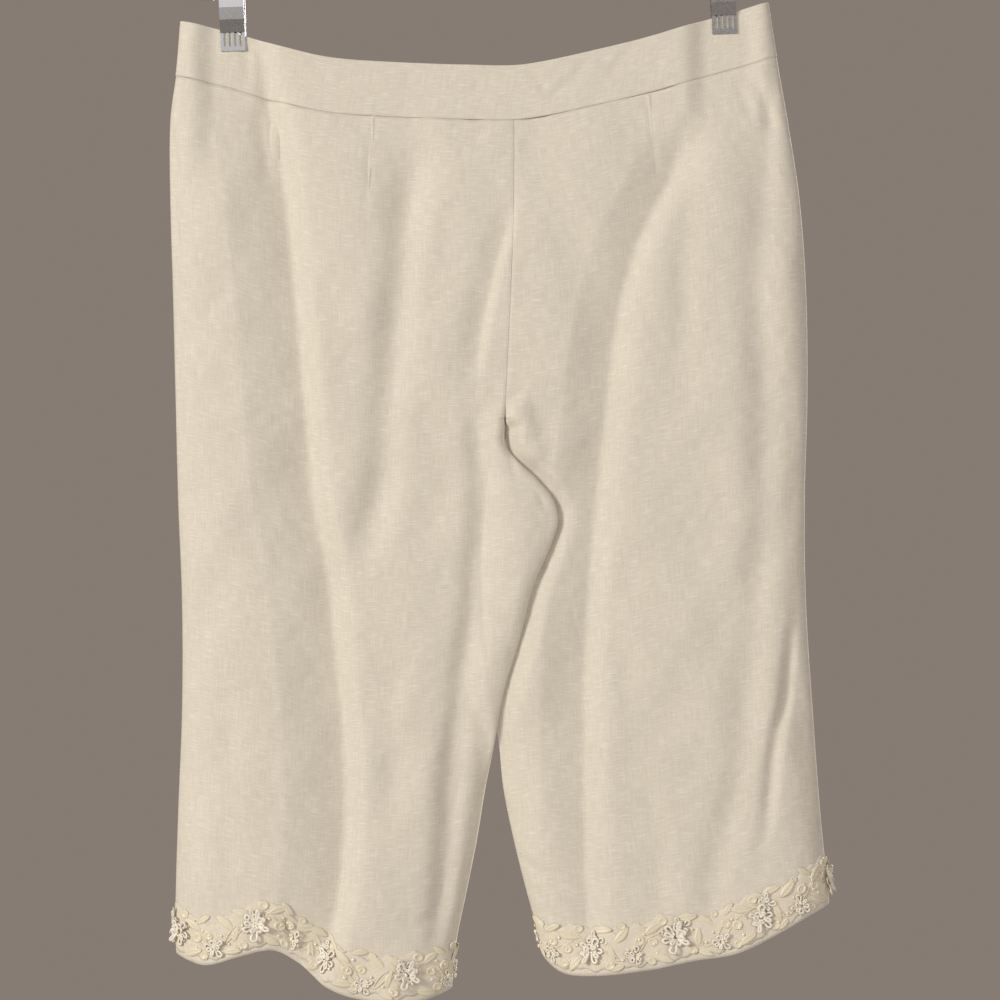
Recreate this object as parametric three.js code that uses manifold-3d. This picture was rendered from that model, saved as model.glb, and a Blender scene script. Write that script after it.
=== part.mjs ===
// Wide-leg cropped trousers with an embroidered hem, seen from behind, hung by the waistband
// from a clip hanger. Millimetres, +Z up. The origin is the inside top of the hanger's hook.
// +X runs to the right of someone who looks at the back of the trousers, and +Y towards their front.
// "left" and "right" are the wearer's own, which a look from behind keeps.
//
// Cloth: four leg panels, a waistband in two pieces, and an embroidered trim on each panel's hem.
// Every cloth piece is a thin wall on one surface, skin(), worked out from the tables below.
import * as THREE from 'three';
import { mergeVertices } from 'three/addons/utils/BufferGeometryUtils.js';
import Module from 'manifold-3d';

// ---- driving dimensions ----
const CLOTH = 1.2;            // panel wall
const CELLS = 17;             // columns of facets across a panel
const SEAM_GAP = 0.3;         // between neighbours at a seam
const BAND_HEIGHT = 42;       // waistband, seam to top edge
const BAND_WALL = 1.6;        // folded and interfaced band
const BAND_PROUD = 0.4;       // how far the band stands out from the panels
const TRIM_HEIGHT = 36;       // embroidered hem
const TRIM_WALL = 1.0;
const CROTCH = -418;          // height of the crotch point
const CROTCH_RISE = 90;       // height of the U that the rise seam makes above it
const CROTCH_ROUND = 13;      // rounding of the inseam at the crotch point
const CROTCH_BLEND = 110;     // it widens to that of the legs over this height
const TURN = 20;              // the thighs turn past each other over this height below the crotch
const UNTURN = 50;            // and come back into line over this height once they hang apart
const PART = -665;            // the legs hang clear of each other below this
const LAP_GAP = 0.6;          // half the gap between lapped thighs
const LAP_EDGE = 4;           // half the thickness of a lapped thigh at its inseam
const LAP_ROUND = 10;         // rounding of that inseam
const LAP_MARGIN = 20;        // a lapped thigh stays thin this far past the other one
const LAP_FADE = 45;          // and swells to full depth over this width
const HOOK_RADIUS = 18;       // inside of the hanger's hook
const HOOK_WIRE = 2;          // wire radius
const BAR_DROP = 85;          // hook to bar
const BAR_RADIUS = 3;
const BAR_LENGTH = 430;
const TILT = 2;               // degrees; the wearer's right side hangs higher
const CLIPS = [{ side: 'left', x: -191 }, { side: 'right', x: 185 }];
const CLIP_WIDTH = 19;
const CLIP_DROP = 45;         // bar to the bottom of the jaws
const JAW = 1.2;              // jaw plate
const GRIP = 2.8;             // jaw's inner face from the middle of the cloth
const PINCH = 1.8;            // half thickness of the garment in a clip's grip
const PINCH_FLAT = 20;        // the band is flat this far each side of a clip,
const PINCH_FADE = 15;        // opens over this width,
const PINCH_BELOW = 110;      // and is open this far below the jaws
const FOLD_FADE = 22;         // folds die out this far from the side seams and inseams

// ---- tables: one row for each level, seam point or fold ----
// Silhouette at each height, and the half depth and rounded edges of the flattened section there.
const LEVELS = [
  { z: -100, left: -226, right: 223, depth: 8, round: 18 },
  { z: -150, left: -230, right: 231, depth: 9, round: 20 },
  { z: -190, left: -235, right: 238, depth: 11, round: 26 },
  { z: -250, left: -235, right: 247, depth: 15, round: 40 },
  { z: -320, left: -233, right: 252, depth: 18, round: 50 },
  { z: -400, left: -231, right: 253, depth: 19, round: 56 },
  { z: -480, left: -229, right: 251, depth: 19, round: 60 },
  { z: -560, left: -226, right: 252, depth: 20, round: 62 },
  { z: -640, left: -226, right: 257, depth: 22, round: 66 },
  { z: -720, left: -229, right: 263, depth: 25, round: 70 },
  { z: -800, left: -231, right: 271, depth: 27, round: 72 },
  { z: -865, left: -229, right: 277, depth: 28, round: 72 },
];
// Rise seam, at the middle of the seat.
const RISE = [
  { z: -100, x: 28 },
  { z: -260, x: 28 },
  { z: CROTCH, x: 21.5 },
];
// Inseams: below the crotch the left thigh laps over the right one, then the legs part.
const INSEAMS = [
  { z: CROTCH, left: 21.5, right: 21.5 },
  { z: -438, left: 22, right: 21 },
  { z: -450, left: 31, right: 14 },
  { z: -463, left: 45, right: 7 },
  { z: -479, left: 58, right: 1 },
  { z: -496, left: 62, right: -3 },
  { z: -516, left: 56, right: -4 },
  { z: -546, left: 43, right: -1 },
  { z: -585, left: 33, right: 3 },
  { z: -625, left: 21, right: 9 },
  { z: PART, left: 13.5, right: 16.5 },
  { z: -700, left: 6.5, right: 20 },
  { z: -740, left: 0, right: 28 },
  { z: -780, left: -8, right: 38 },
  { z: -820, left: -16, right: 49 },
  { z: -865, left: -20, right: 58 },
];
// Seam between band and panels, sagging between the clips.
const WAIST = [
  { x: -236, z: -155 }, { x: -190, z: -165 }, { x: -155, z: -175 }, { x: -115, z: -184 },
  { x: -60, z: -188 }, { x: 0, z: -190 }, { x: 30, z: -190 }, { x: 55, z: -186.5 },
  { x: 90, z: -179 }, { x: 135, z: -168.5 }, { x: 185, z: -154.5 }, { x: 240, z: -140 },
];
// Bottom edge of each leg.
const HEMS = {
  left: [
    { x: -233, z: -825 }, { x: -208, z: -833 }, { x: -180, z: -826 }, { x: -155, z: -821 },
    { x: -135, z: -831 }, { x: -115, z: -848 }, { x: -88, z: -858 }, { x: -45, z: -861 },
    { x: -18, z: -853 },
  ],
  right: [
    { x: 48, z: -824 }, { x: 62, z: -838 }, { x: 80, z: -841 }, { x: 130, z: -836 },
    { x: 165, z: -829 }, { x: 200, z: -823 }, { x: 230, z: -810 }, { x: 255, z: -797 },
    { x: 275, z: -788 },
  ],
};
// Long folds. Each is a trough that runs from one height to another through three places; depth is
// how far it sinks into the garment, and before and after are its widths on its -X and +X sides.
const FOLDS = {
  back: [
    { name: 'from left clip', from: -150, to: -850, x1: -172, x2: -134, x3: -132,
      depth: 9, before: 26, after: 13 },
    { name: 'left dart', from: -195, to: -550, x1: -56, x2: -73, x3: -104, depth: 6, before: 18, after: 18 },
    { name: 'drag to thigh', from: -230, to: -420, x1: 24, x2: 1, x3: -10, depth: 3, before: 18, after: 9 },
    { name: 'left inner thigh', from: -400, to: -830, x1: -8, x2: -15, x3: -38,
      depth: 6, before: 16, after: 14 },
    { name: 'right dart', from: -180, to: -830, x1: 148, x2: 81, x3: 74, depth: 8, before: 22, after: 16 },
    { name: 'from right clip', from: -140, to: -815, x1: 220, x2: 209, x3: 165,
      depth: 6, before: 18, after: 14 },
  ],
  front: [
    { name: 'from left clip', from: -150, to: -845, x1: -150, x2: -165, x3: -170,
      depth: 8, before: 16, after: 24 },
    { name: 'left leg', from: -260, to: -850, x1: -80, x2: -92, x3: -82, depth: 7, before: 20, after: 20 },
    { name: 'left inner leg', from: -560, to: -850, x1: -40, x2: -42, x3: -45,
      depth: 5, before: 14, after: 14 },
    { name: 'right leg', from: -240, to: -835, x1: 70, x2: 98, x3: 112, depth: 8, before: 20, after: 18 },
    { name: 'from right clip', from: -150, to: -820, x1: 150, x2: 170, x3: 190,
      depth: 8, before: 20, after: 16 },
  ],
};

// ---- interpolation ----
const clamp = (t) => Math.min(1, Math.max(0, t));
const lerp = (a, b, t) => a + (b - a) * t;
const smooth = (t) => clamp(t) ** 2 * (3 - 2 * clamp(t));

// Smooth curve through one column of a table, by its key column.
function along(table, key, column, at) {
  const up = table[1][key] > table[0][key] ? 1 : -1;
  let i = 0;
  while (i < table.length - 2 && (at - table[i + 1][key]) * up > 0) i += 1;
  const a = table[i];
  const b = table[i + 1];
  const before = table[i - 1] ?? a;
  const after = table[i + 2] ?? b;
  const span = b[key] - a[key];
  const t = clamp((at - a[key]) / span);
  const slopeA = ((b[column] - before[column]) / (b[key] - before[key])) * span;
  const slopeB = ((after[column] - a[column]) / (after[key] - a[key])) * span;
  const h = 1 - t;
  return h * h * (1 + 2 * t) * a[column] + t * t * (1 + 2 * h) * b[column]
    + h * h * t * slopeA - t * t * h * slopeB;
}
const level = (column, z) => along(LEVELS, 'z', column, z);
const inseam = (leg, z) => along(INSEAMS, 'z', leg, z);
const waist = (x) => along(WAIST, 'x', 'z', x);

// ---- the cloth's outer surface ----
// Rounded edge of a flattened tube: 0 at the edge, 1 from the distance "round" inwards.
const edge = (distance, round) => Math.sqrt(1 - (1 - clamp(distance / round)) ** 2);

// Bottom of a clip's jaws, with the hanger's tilt.
function clipPlace(clip) {
  const a = THREE.MathUtils.degToRad(TILT);
  const down = BAR_DROP + CLIP_DROP;
  return {
    x: clip.x * Math.cos(a) + down * Math.sin(a),
    z: clip.x * Math.sin(a) - down * Math.cos(a),
  };
}

// Where each clip pinches the band flat: 1 in its grip, 0 away from it.
function pinch(x, z) {
  return Math.max(...CLIPS.map((clip) => {
    const place = clipPlace(clip);
    const sideways = 1 - smooth((Math.abs(x - place.x) - PINCH_FLAT) / PINCH_FADE);
    return sideways * smooth((z - place.z + PINCH_BELOW) / PINCH_BELOW);
  }));
}

// How far the long folds sink into a layer. A fold's trough is a parabola through its three places;
// it deepens from its upper end and is still half deep at its lower one, so folds reach the hem.
function foldDepth(layer, x, z) {
  let sum = 0;
  for (const fold of FOLDS[layer]) {
    const t = (z - fold.from) / (fold.to - fold.from);
    if (t <= 0 || t >= 1) continue;
    const centre = fold.x1 * (1 - t) * (1 - 2 * t) + 4 * fold.x2 * t * (1 - t) + fold.x3 * t * (2 * t - 1);
    const width = x < centre ? fold.before : fold.after;
    const strength = smooth(t / 0.2) * smooth((1 - t) / 0.15 + 0.4);
    sum += fold.depth * strength * Math.exp(-(((x - centre) / width) ** 2));
  }
  return sum;
}

// A point of the outer surface of one leg's half of the garment. across is 0 at the side seam and
// 1 at the rise seam or the inseam.
function skin(leg, layer, across, z) {
  const toward = leg === 'left' ? 1 : -1;
  const outer = level(leg, z);
  const inner = z > CROTCH ? along(RISE, 'z', 'x', z) : inseam(leg, z);
  const seam = inner - toward * SEAM_GAP / 2;
  const x = lerp(outer, seam, across);
  // the rise seam's U: the inner edge rounds off as the crotch is reached
  const s = clamp((CROTCH + CROTCH_RISE - z) / CROTCH_RISE);
  const closed = 1 - Math.sqrt(1 - s * s);
  const fromSide = Math.abs(x - outer);
  const fromInseam = Math.abs(seam - x);
  const round = level('round', z);
  const roundInseam = lerp(CROTCH_ROUND, round * 0.9, smooth(Math.abs(z - CROTCH) / CROTCH_BLEND));
  const edges = edge(fromSide, round) * (1 - closed + closed * edge(fromInseam, roundInseam));
  const full = level('depth', z);
  let half = full * edges;
  const grip = pinch(x, z);
  half = lerp(half, Math.min(half, PINCH), grip);
  // folds die out at the seams, in the clips' grip and where the thighs lap
  const away = smooth(fromSide / FOLD_FADE) * (z > CROTCH ? 1 : smooth(fromInseam / FOLD_FADE));
  const fold = foldDepth(layer, x, z) * away * (1 - grip);
  // the lap: the covered layer lies on the middle plane, the other one stays where it was
  const other = leg === 'left' ? 'right' : 'left';
  const reach = (x - inseam(other, z)) * toward;
  const turned = smooth((CROTCH - z) / TURN) * smooth((z - PART) / UNTURN + 1.2);
  const lap = z > CROTCH ? 0 : turned * smooth((reach + LAP_MARGIN) / LAP_FADE + 1);
  const covered = (leg === 'left') === (layer === 'front');
  const middle = LAP_EDGE + LAP_GAP;
  const lapped = covered
    ? LAP_EDGE * edge(fromInseam, LAP_ROUND) - middle
    : middle + (full - LAP_EDGE) * edges - fold;
  const depth = lerp(half - fold * (covered ? 1 - lap : 1), lapped, lap) + SEAM_GAP / 2;
  return new THREE.Vector3(x, layer === 'back' ? -depth : depth, z);
}

// Outward normal of the surface; above the crotch it is measured above it, and below it below.
// It lies square to the seams, so that the two walls at a seam stay apart.
function skinNormal(leg, layer, across, z) {
  const du = 0.003;
  const dz = 0.4;
  const high = z >= CROTCH ? z + dz : Math.min(CROTCH - 0.01, z + dz);
  const low = z >= CROTCH ? Math.max(CROTCH, z - dz) : z - dz;
  const u = skin(leg, layer, Math.min(1, across + du), z).sub(skin(leg, layer, Math.max(0, across - du), z));
  const v = skin(leg, layer, across, low).sub(skin(leg, layer, across, high));
  const out = u.cross(v);
  if (across === 0 || (across === 1 && z <= CROTCH)) out.y = 0;
  if (across === 1 && z > CROTCH) out.x = 0;
  out.normalize();
  return (leg === 'left') === (layer === 'front') ? out : out.negate();
}

// Columns crowd towards the edges, where the section is round.
const crowd = (t) => t - 0.85 * Math.sin(2 * Math.PI * t) / (2 * Math.PI);
const range = (count) => Array.from({ length: count + 1 }, (_, i) => i / count);

// Rows of a panel: they follow the waist seam, are level at the crotch, and follow the hem. Each is
// a function of the place across, and the last three are the rows of the trim.
const WAIST_END = -330;
const HEM_START = -665;
const across = (leg, a, z) => skin(leg, 'back', a, z).x;
const fromWaist = (f) => (leg, a) => lerp(waist(across(leg, a, -180)) - SEAM_GAP, WAIST_END, f);
const fromHem = (f, above = 0) => (leg, a) =>
  lerp(along(HEMS[leg], 'x', 'z', across(leg, a, -840)) + above, HEM_START, f);
const levelRow = (z) => () => z;
const PANEL_ROWS = [
  ...[0, 0.16, 0.36, 0.58, 0.8].map((f) => fromWaist(f)),
  ...[-330, -362, -388, -405, -415, CROTCH, -438, -451, -464, -480, -497].map(levelRow),
  ...[-516, -546, -585, -625, HEM_START].map(levelRow),
  ...[0.66, 0.33].map((f) => fromHem(f, TRIM_HEIGHT)),
];
const TRIM_ROWS = [TRIM_HEIGHT, TRIM_HEIGHT / 2, 0].map((above) => fromHem(0, above));

const panelGrid = (leg, layer, rows, cells) => rows.map((row) => range(cells).map((t) => {
  const a = crowd(t);
  const z = row(leg, a);
  return { at: skin(leg, layer, a, z), out: skinNormal(leg, layer, a, z) };
}));

// The band crosses the rise seam: the left half's columns, then the right half's.
const BAND_STEPS = [0, 0.5, 1];
const bandGrid = (layer, cells) => BAND_STEPS.map((f) => {
  const half = (leg) => range(cells).map((t) => {
    const a = crowd(t);
    const low = waist(across(leg, a, -180));
    const z = low + f * BAND_HEIGHT;
    return { at: skin(leg, layer, a, z), out: skinNormal(leg, layer, a, z) };
  });
  return [...half('left'), ...half('right').reverse().slice(1)];
}).reverse();

// Closed wall between two distances out of a grid of points, with its faces pointing out.
function wall(cells, low, high) {
  const rows = cells.length;
  const columns = cells[0].length;
  const places = [];
  for (const distance of [high, low]) {
    for (const { at, out } of cells.flat()) {
      places.push(...out.clone().multiplyScalar(distance).add(at).toArray());
    }
  }
  const id = (side, r, c) => (side * rows + r) * columns + c;
  // the faces turn round where the grid's rows and columns run against the outward normal
  const [r0, c0] = [Math.floor(rows / 2), Math.floor(columns / 2)];
  const start = cells[r0][c0];
  const right = cells[r0][c0 + 1].at.clone().sub(start.at);
  const below = cells[r0 + 1][c0].at.clone().sub(start.at);
  const flip = below.cross(right).dot(start.out) < 0;
  const faces = [];
  const quad = (a, b, c, d) => faces.push(...(flip ? [a, c, b, a, d, c] : [a, b, c, a, c, d]));
  for (let r = 0; r < rows - 1; r += 1) {
    for (let c = 0; c < columns - 1; c += 1) {
      quad(id(0, r, c), id(0, r + 1, c), id(0, r + 1, c + 1), id(0, r, c + 1));
      quad(id(1, r, c), id(1, r, c + 1), id(1, r + 1, c + 1), id(1, r + 1, c));
    }
  }
  for (let c = 0; c < columns - 1; c += 1) {
    quad(id(0, 0, c), id(0, 0, c + 1), id(1, 0, c + 1), id(1, 0, c));
    quad(id(0, rows - 1, c + 1), id(0, rows - 1, c), id(1, rows - 1, c), id(1, rows - 1, c + 1));
  }
  for (let r = 0; r < rows - 1; r += 1) {
    quad(id(0, r + 1, 0), id(0, r, 0), id(1, r, 0), id(1, r + 1, 0));
    quad(id(0, r, columns - 1), id(0, r + 1, columns - 1), id(1, r + 1, columns - 1), id(1, r, columns - 1));
  }
  const geometry = new THREE.BufferGeometry();
  geometry.setAttribute('position', new THREE.Float32BufferAttribute(places, 3));
  geometry.setIndex(faces);
  geometry.computeVertexNormals();
  return geometry;
}

// ---- boolean cuts ----
const manifold = await Module();
manifold.setup();
function toSolid(geometry) {
  const bare = geometry.clone();
  bare.deleteAttribute('normal');
  bare.deleteAttribute('uv');
  const merged = mergeVertices(bare, 1e-4);
  return new manifold.Manifold(new manifold.Mesh({
    numProp: 3,
    vertProperties: new Float32Array(merged.attributes.position.array),
    triVerts: new Uint32Array(merged.index.array),
  }));
}
function fromSolid(solid) {
  const mesh = solid.getMesh();
  const geometry = new THREE.BufferGeometry();
  geometry.setAttribute('position', new THREE.Float32BufferAttribute(mesh.vertProperties, 3));
  geometry.setIndex(Array.from(mesh.triVerts));
  geometry.computeVertexNormals();
  return geometry;
}
const cut = (body, tools) => fromSolid(
  tools.reduce((left, tool) => left.subtract(toSolid(tool)), toSolid(body)),
);

// ---- hanger ----
// Wire hook: a round crook that narrows into a straight stem down to the ferrule on the bar.
function hookGeometry() {
  const radius = HOOK_RADIUS + HOOK_WIRE;
  const points = [];
  for (let degrees = 205; degrees >= -35; degrees -= 15) {
    const a = THREE.MathUtils.degToRad(degrees);
    points.push(new THREE.Vector3(radius * Math.cos(a), 0, radius * Math.sin(a) - HOOK_RADIUS));
  }
  points.push(new THREE.Vector3(6, 0, -39), new THREE.Vector3(0.5, 0, -50));
  points.push(new THREE.Vector3(0, 0, -60), new THREE.Vector3(0, 0, 0.5 - BAR_DROP + BAR_RADIUS));
  const section = new THREE.Shape();
  section.absarc(0, 0, HOOK_WIRE, 0, 2 * Math.PI);
  const path = new THREE.CatmullRomCurve3(points);
  return new THREE.ExtrudeGeometry(section, {
    steps: 44, curveSegments: 5, bevelEnabled: false, extrudePath: path,
  });
}

// A cylinder along X.
const rod = (radius, length, sides = 20) => new THREE.CylinderGeometry(radius, radius, length, sides)
  .rotateZ(Math.PI / 2);

// Upright ferrule that takes the bar through it and the hook's stem from above.
function ferruleGeometry() {
  const body = new THREE.CylinderGeometry(6.5, 6.5, 18, 24).rotateX(Math.PI / 2);
  const bore = rod(BAR_RADIUS + SEAM_GAP, 20);
  const socket = new THREE.CylinderGeometry(HOOK_WIRE + SEAM_GAP, HOOK_WIRE + SEAM_GAP, 14, 20)
    .rotateX(Math.PI / 2).translate(0, 0, 7);
  return cut(body, [bore, socket]);
}

// Cap on the end of the bar, closed outside and bored for the bar.
function capGeometry() {
  const bore = BAR_RADIUS + SEAM_GAP;
  const profile = [[0, 2], [bore, 2], [bore, -8], [5, -8], [5, 2], [3.5, 4.5], [0, 5]];
  return new THREE.LatheGeometry(profile.map(([r, h]) => new THREE.Vector2(r, h)), 20)
    .rotateZ(-Math.PI / 2);
}

// Bent plate in the YZ plane, as wide as the clip along X.
function plateGeometry(path, thickness, width) {
  const points = path.map(([y, z]) => new THREE.Vector2(y, z));
  const outer = points.map((point, i) => {
    const a = points[Math.max(0, i - 1)];
    const b = points[Math.min(points.length - 1, i + 1)];
    const run = b.clone().sub(a).normalize();
    return new THREE.Vector2(point.x - run.y * thickness, point.y + run.x * thickness);
  });
  const shape = new THREE.Shape([...points, ...outer.reverse()]);
  const geometry = new THREE.ExtrudeGeometry(shape, { depth: width, bevelEnabled: false });
  const turn = new THREE.Matrix4().makeBasis(
    new THREE.Vector3(0, 1, 0), new THREE.Vector3(0, 0, 1), new THREE.Vector3(1, 0, 0),
  );
  return geometry.applyMatrix4(turn).translate(-width / 2, 0, 0);
}

// Clip jaw: grips flat, bellies out, passes the spring and flares to a finger tab. Four slots.
function jawGeometry() {
  const path = [
    [-GRIP, -CLIP_DROP], [-GRIP, -31], [-5.5, -21], [-6, -12], [-5, -3], [-5, 3], [-7.5, 10], [-13, 21],
  ];
  const plate = plateGeometry(path, JAW, CLIP_WIDTH);
  const slots = [-6, -2, 2, 6].map((x) => {
    const shape = new THREE.Shape();
    shape.absarc(0, 0, 1, Math.PI, 2 * Math.PI);
    shape.lineTo(1, 9);
    shape.absarc(0, 9, 1, 0, Math.PI);
    const tool = new THREE.ExtrudeGeometry(shape, { depth: 6, bevelEnabled: false, curveSegments: 8 });
    return tool.rotateX(Math.PI / 2).translate(x, 0, 3.6 - CLIP_DROP + 1);
  });
  return cut(plate, slots);
}

// Sleeve of the clip's spring, round the bar.
function springGeometry() {
  const [inner, outer, half] = [BAR_RADIUS + SEAM_GAP, 4.7, 6];
  const profile = [[inner, -half], [outer, -half], [outer, half], [inner, half], [inner, -half]];
  return new THREE.LatheGeometry(profile.map(([r, h]) => new THREE.Vector2(r, h)), 20).rotateZ(Math.PI / 2);
}

// ---- assembly ----
const finish = (color, roughness, metalness) =>
  new THREE.MeshStandardMaterial({ color, roughness, metalness });
const LINEN = finish('#e2d8c6', 0.85, 0);
const TRIM = finish('#e8dcbc', 0.7, 0);
const CHROME = finish('#c9ccd0', 0.15, 1);

function piece(name, geometry, material, parent) {
  const mesh = new THREE.Mesh(geometry, material);
  mesh.name = name;
  parent.add(mesh);
  return mesh;
}

const trousers = new THREE.Group();
for (const layer of ['back', 'front']) {
  for (const leg of ['left', 'right']) {
    const panel = panelGrid(leg, layer, [...PANEL_ROWS, ...TRIM_ROWS], CELLS);
    const trim = panelGrid(leg, layer, TRIM_ROWS, CELLS);
    piece(`${layer}_${leg}`, wall(panel, -CLOTH, 0), LINEN, trousers);
    piece(`hem_trim_${layer}_${leg}`, wall(trim, SEAM_GAP, SEAM_GAP + TRIM_WALL), TRIM, trousers);
  }
  const band = wall(bandGrid(layer, CELLS), BAND_PROUD - BAND_WALL, BAND_PROUD);
  piece(`waistband_${layer}`, band, LINEN, trousers);
}

const hanger = new THREE.Group();
hanger.rotation.y = THREE.MathUtils.degToRad(-TILT);
piece('hanger_hook', hookGeometry(), CHROME, hanger);
const rail = new THREE.Group();
rail.position.z = -BAR_DROP;
piece('hanger_bar', rod(BAR_RADIUS, BAR_LENGTH), CHROME, rail);
piece('hanger_ferrule', ferruleGeometry(), CHROME, rail);
for (const [side, sign] of [['left', -1], ['right', 1]]) {
  const cap = piece(`hanger_cap_${side}`, capGeometry(), CHROME, rail);
  cap.position.x = sign * (BAR_LENGTH / 2 - 2 + SEAM_GAP);
  cap.rotation.z = sign > 0 ? 0 : Math.PI;
}
for (const clip of CLIPS) {
  const grip = new THREE.Group();
  grip.position.x = clip.x;
  piece(`clip_${clip.side}_back_jaw`, jawGeometry(), CHROME, grip);
  piece(`clip_${clip.side}_front_jaw`, jawGeometry(), CHROME, grip).rotation.z = Math.PI;
  piece(`clip_${clip.side}_spring`, springGeometry(), CHROME, grip);
  rail.add(grip);
}
hanger.add(rail);

const group = new THREE.Group();
group.add(trousers, hanger);
export default group;
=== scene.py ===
"""Linen capri trousers with an embroidered hem, hanging by the waistband from a clip hanger.

Seen from behind. Lengths in the tables are millimetres in the model's frame: +X to the viewer's right,
which is the wearer's right, +Y towards the front of the trousers, +Z up, and the origin at the hanger's hook.
"""
import math

import bpy
import numpy as np
from mathutils import Matrix, Vector


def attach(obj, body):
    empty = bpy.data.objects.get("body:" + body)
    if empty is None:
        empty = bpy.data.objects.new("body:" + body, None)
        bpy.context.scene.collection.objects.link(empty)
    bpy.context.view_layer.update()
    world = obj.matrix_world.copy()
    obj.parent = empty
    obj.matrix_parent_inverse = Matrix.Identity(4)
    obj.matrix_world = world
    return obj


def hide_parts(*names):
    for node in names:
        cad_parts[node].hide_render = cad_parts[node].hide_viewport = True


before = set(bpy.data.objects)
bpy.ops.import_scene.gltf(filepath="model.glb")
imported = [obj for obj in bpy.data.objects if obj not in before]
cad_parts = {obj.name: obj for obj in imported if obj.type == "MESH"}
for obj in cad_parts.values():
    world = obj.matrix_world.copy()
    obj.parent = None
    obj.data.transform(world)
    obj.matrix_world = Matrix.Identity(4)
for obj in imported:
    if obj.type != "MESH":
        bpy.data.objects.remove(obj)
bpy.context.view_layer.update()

MM = 0.001

# ---- sizes ----
LINEN_THICK = 0.8          # panel, with the loft of the crumpled weave
SEAM_GAP = 0.02            # between two panels at a seam
SEAM_ROLL = (0.35, 1.6)    # how far cloth rolls in at a seam, and over what width
BAND_HEIGHT = 42
BAND_THICK = 1.5           # folded and interfaced
BAND_PROUD = 0.4           # it stands out from the panels
CROTCH = -418              # crotch point
CROTCH_RISE = 14           # the rise seam turns under over this height
CROTCH_ROUND = 7           # radius of the thighs' inner edges at the crotch
CROTCH_BLEND = 110         # and the height over which they fill out
INSEAM_ROUND = 15          # radius of a thigh's inner edge below that
HEM_ROUND = 0.9            # at the hem, as a share of the outer edge's rounding
HANG_FROM = (-540, 170)    # the one gives way to the other below this height, over this much
UNTURN = 50                # the thighs come back into line over this height
UNTURN_LOW = 1.2           # and are there this many times that height below PART
PART = -665                # below here the legs hang clear
LAP_SHIFT = 12             # the thighs lap on a plane this far behind the middle of the trousers
LAP_OPENS = 8              # the two inner edges part over this height below the crotch
LAP_GAP = 0.3              # from that plane to the cloth on either side of it
LAP_EDGE = 1.2             # and further to each leg's inner edge
LAP_ROUND = 10             # width of the covered leg's rounded edge
LAP_FADE = 17              # the covered cloth rises out of the lap over this width
FOLD_FADE = 22             # long folds die out this near an edge
FOLD_RELIEF = 1.7          # scales the depth of every long fold
RAMP_WIDTH = 20            # a side of a fold this wide is a straight ramp
TILT = math.radians(2)     # hanger
CLIP_X = (-191, 185)
CLIP_BOTTOM = 130          # below the hook, along the tilted hanger
PINCH = 2.3                # half thickness of the trousers in a clip
PINCH_FLAT = 13            # held flat this far to each side of the clip's middle
PINCH_FADE = 20            # then filling out over this width
PINCH_BELOW = 110          # and over this height below the clip

# ---- tables ----
# Height, silhouette left and right, half depth, and rounding of the edges.
LEVELS = np.array([
    (-100, -226, 223, 8, 18), (-150, -230, 231, 9, 20), (-190, -235, 238, 11, 26),
    (-250, -235, 247, 15, 40), (-320, -233, 252, 18, 50), (-400, -231, 253, 19, 56),
    (-480, -229, 251, 19, 60), (-560, -226, 252, 20, 62), (-640, -226, 257, 22, 66),
    (-720, -229, 263, 25, 70), (-800, -231, 271, 27, 72), (-865, -229, 277, 28, 72),
])
LEVEL_COLUMNS = {"left": 1, "right": 2, "depth": 3, "round": 4}
# Height and place of the rise seam.
RISE = np.array([(-100, 28), (-260, 28), (CROTCH, 21.5)])
# Height, then the left and the right inseam.
INSEAMS = np.array([
    (CROTCH, 21.5, 21.5), (-438, 22, 21), (-450, 31, 14), (-463, 45, 7), (-479, 58, 1),
    (-496, 62, -3), (-516, 56, -4), (-546, 43, -1), (-585, 33, 3), (-625, 21, 9),
    (PART, 13.5, 16.5), (-700, 6.5, 20), (-740, 0, 28), (-780, -8, 38), (-820, -16, 49),
    (-865, -20, 58),
])
# Waist seam, place and height.
WAIST = np.array([
    (-236, -155), (-190, -165), (-155, -175), (-115, -184), (-60, -188), (0, -190),
    (30, -190), (55, -186.5), (90, -179), (135, -168.5), (185, -154.5), (240, -140),
])
# Bottom edges, place and height.
HEMS = {
    "left": np.array([
        (-233, -825), (-208, -833), (-180, -826), (-155, -821), (-135, -831), (-115, -848),
        (-88, -858), (-45, -861), (-18, -853),
    ]),
    "right": np.array([
        (48, -824), (62, -838), (80, -841), (130, -836), (165, -829), (200, -823),
        (230, -810), (255, -797), (275, -788),
    ]),
}
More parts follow.
